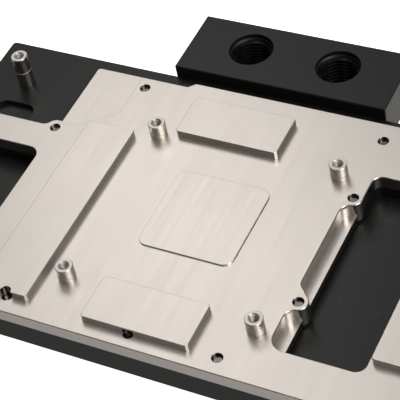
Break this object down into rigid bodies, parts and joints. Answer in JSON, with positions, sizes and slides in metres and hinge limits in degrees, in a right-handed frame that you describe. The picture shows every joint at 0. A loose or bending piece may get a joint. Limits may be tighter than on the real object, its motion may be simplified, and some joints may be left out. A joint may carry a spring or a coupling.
{
  "type": "gpu water block",
  "caption": "Full-cover liquid cooling block for a graphics card: nickel-plated cold plate with raised pads on a black plastic body, with threaded ports in a terminal block.",
  "frame": {"origin": "centre of the square of four processor standoffs, on the plane of their tops, where the circuit board seats", "axes": "+Z out of the cold plate towards the board, +X along the block, +Y towards the terminal with the ports"},
  "size_m": [0.1844, 0.1307, 0.0213],
  "materials": {
    "nickel": "finely machined, nickel-plated copper",
    "black_acetal": "milled black acetal, satin",
    "plated_brass": "turned and nickel-plated",
    "stainless_steel": "plain bright",
    "rubber": "moulded, matt"
  },
  "bodies": {
    "root": {"cold_plate": "nickel", "body": "black_acetal", "terminal": "black_acetal", "jet_plate": "stainless_steel", "main_seal": "rubber", "terminal_seal_1": "rubber", "terminal_seal_2": "rubber", "terminal_screw_1": "stainless_steel", "terminal_screw_2": "stainless_steel", "gpu_standoff_1": "plated_brass", "gpu_standoff_2": "plated_brass", "gpu_standoff_3": "plated_brass", "gpu_standoff_4": "plated_brass", "board_standoff_left": "plated_brass", "plate_screw_1": "stainless_steel", "plate_screw_2": "stainless_steel", "plate_screw_3": "stainless_steel", "plate_screw_4": "stainless_steel", "plate_screw_5": "stainless_steel", "plate_screw_6": "stainless_steel", "plate_screw_7": "stainless_steel", "plate_screw_8": "stainless_steel"}
  },
  "joints": []
}
